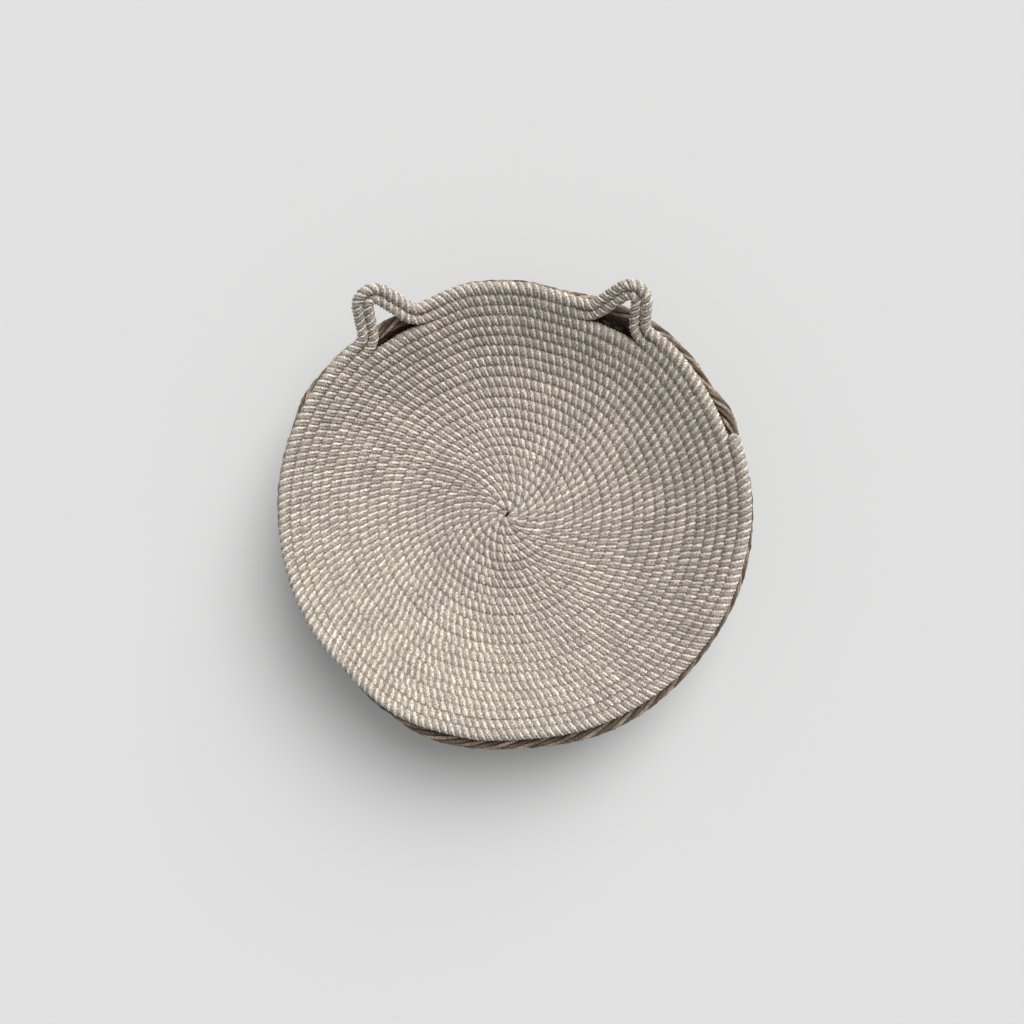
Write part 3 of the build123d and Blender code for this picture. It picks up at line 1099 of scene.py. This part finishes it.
@dataclass
class Thread:
    """Running stitches that dip in and out of the two grooves beside the inner rim row.

    Attributes:
        lift, dip: Height of the thread over the rows' middle surface, and how far it sways from there.
        rows_in: Place of the two grooves, in rows from the outermost one.
        ear_gap, end_gap: Angles left free beside the left ear's middle and the rope's end.
    """

    cord: Cord = Cord(1.0 * MM, strands=2, lay=3.0 * MM, depth=0.15, per_strand=4, step=0.8 * MM)
    lift: float = 2.7 * MM
    dip: float = 0.8 * MM
    stitch: float = 11.0 * MM
    rows_in: tuple[float, ...] = (0.5, 1.5)
    ear_gap: float = math.radians(12)
    end_gap: float = math.radians(3)
    taper: float = 1 * MM
    line_points: int = 2400

    def build(self, seat: Seat, material: Material) -> None:
        """Sew from the left ear round the front to the rope's end.

        Args:
            seat: The seat that it is sewn into.
            material: The thread's material.
        """
        azimuth, radius = seat.spiral()
        first = seat.ears[1].azimuth + self.ear_gap - TAU
        turn = np.linspace(first, seat.end_azimuth - self.end_gap, self.line_points)
        step_in = seat.wall_pitch * math.cos(seat.wall_slope)
        for i, rows in enumerate(self.rows_in):
            points, ups = seat.shaped(turn, np.interp(turn, azimuth, radius) - rows * step_in)
            waves = np.cos(TAU * turn * seat.rim_radius / self.stitch)
            points = points + ups * (self.lift + self.dip * waves)[:, None]
            route = Route.free(points, ups).resampled(self.cord.step)
            piece = self.cord.mesh(f"sewing_thread_{i + 1}", route, tapers=(self.taper, self.taper))
            dress(piece, Body.SEAT, material, ("stitch_thread",) if i == 0 else ())


# ---- stage


@dataclass(frozen=True)
class Lamp:
    """Soft distant lamp: degrees from overhead, degrees of spread, and strength."""

    name: str
    zenith: float
    spread: float
    strength: float


@dataclass
class Studio:
    """Pale floor, soft light from the upper right and a camera straight above."""

    camera_height: float = 1.15
    focal_mm: float = 43.0
    sensor_mm: float = 36.0
    roll: float = math.radians(-2.3)
    centre: Pair = (-0.002, 0.0)
    floor_size: float = 8.0
    floor_albedo: float = 0.776
    light_azimuth: float = math.radians(58)
    lamps: tuple[Lamp, ...] = (
        Lamp("top_light", 20, 40, 0.35),
        Lamp("high_light", 35, 40, 1.60),
        Lamp("side_light", 50, 40, 0.62),
        Lamp("low_light", 74, 26, 0.12),
    )
    sky: float = 0.24
    floor_glow: float = 0.06

    def floor(self) -> None:
        """Wide matte floor."""
        bpy.ops.mesh.primitive_plane_add(size=self.floor_size, location=(0, 0, 0))
        plane = bpy.context.object
        plane.name = "studio_floor"
        made, _, shader = new_material("studio_floor")
        fill(shader, {"Base Color": (self.floor_albedo,) * 3 + (1,), "Roughness": 1.0,
                      "Specular IOR Level": 0.0, "Emission Color": WHITE,
                      "Emission Strength": self.floor_glow})
        plane.data.materials.append(made)

    def hang(self, lamp: Lamp) -> None:
        """Hang one lamp on the light's side."""
        light = bpy.data.lights.new(lamp.name, "SUN")
        light.angle = math.radians(lamp.spread)
        light.energy = lamp.strength
        holder = bpy.data.objects.new(lamp.name, light)
        zenith = math.radians(lamp.zenith)
        way = Vector((math.sin(zenith) * math.cos(self.light_azimuth),
                      math.sin(zenith) * math.sin(self.light_azimuth), math.cos(zenith)))
        holder.rotation_euler = way.to_track_quat("Z", "Y").to_euler()
        bpy.context.scene.collection.objects.link(holder)

    def lights(self) -> None:
        """Lamps from steep to low on one side, and an even sky."""
        for lamp in self.lamps:
            self.hang(lamp)
        world = bpy.data.worlds.new("studio_sky")
        world.use_nodes = True
        fill(world.node_tree.nodes["Background"], {"Color": WHITE, "Strength": self.sky})
        bpy.context.scene.world = world

    def camera(self) -> None:
        """Camera looking straight down."""
        lens = bpy.data.cameras.new("camera")
        lens.lens = self.focal_mm
        lens.sensor_width = self.sensor_mm
        holder = bpy.data.objects.new("camera", lens)
        holder.location = (self.centre[0], self.centre[1], self.camera_height)
        holder.rotation_euler = (0, 0, self.roll)
        bpy.context.scene.collection.objects.link(holder)
        bpy.context.scene.camera = holder

    def build(self) -> None:
        """Set the whole stage."""
        self.floor()
        self.lights()
        self.camera()
        bpy.context.scene.view_settings.view_transform = "Standard"


def main() -> None:
    """Build the seat, the basket and the stage."""
    logging.basicConfig(level=logging.INFO, format="%(message)s")
    bpy.ops.object.select_all(action="DESELECT")
    groups = {"strands": strand_group(), "fibres": fibre_group(), "dust": dust_group()}
    # The rope's shade colour is painted into its strand grooves, its row seams and the seat's middle.
    rope = CordFinish("rope_cream_taupe", first=(0.89, 0.825, 0.735), second=(0.475, 0.405, 0.335),
                      shade_colour=(0.25, 0.20, 0.15), strands=4, yarns=4, fray=0.9, groove_shade_strength=0.5,
                      tone_spread=0.12, patch_spread=0.08, fine_scale=760.0, fine_contrast=0.6,
                      seam_painted_shade=0.42, fibre_height=0.00028, middle_painted_shade=0.05)
    # The wall's cords are coloured much darker than the border's cord: painted shade for the dark inside of
    # the basket.
    strand = CordFinish("brown_strand_shade_darkened", first=(0.13, 0.095, 0.065), second=(0.16, 0.12, 0.085),
                        shade_colour=(0.035, 0.022, 0.014), strands=2, yarns=5, roughness=0.75, sheen=0.05,
                        fine_scale=900.0)
    # The border's grooves get near-black painted shade between its strands.
    border = CordFinish("brown_border", first=(0.40, 0.305, 0.23), second=(0.16, 0.112, 0.08),
                        shade_colour=(0.012, 0.008, 0.005), strands=6, yarns=3, roughness=0.72, sheen=0.05,
                        softness=0.1, fine_scale=520.0, fine_contrast=0.5, groove_shade_strength=1.0,
                         tone_spread=0.45, dust=0.12)
    rod = RodFinish("willow_rod", pale=(0.24, 0.16, 0.10), dark=(0.10, 0.06, 0.035))
    thread = RodFinish("sewing_thread", pale=(0.40, 0.34, 0.27), dark=(0.28, 0.23, 0.18), roughness=0.9)
    seat = Seat()
    seat.build(rope.material(groups))
    Thread().build(seat, thread.material(groups))
    Basket().build(strand.material(groups), border.material(groups), rod.material(groups))
    Studio().build()


if __name__ == "__main__":
    main()
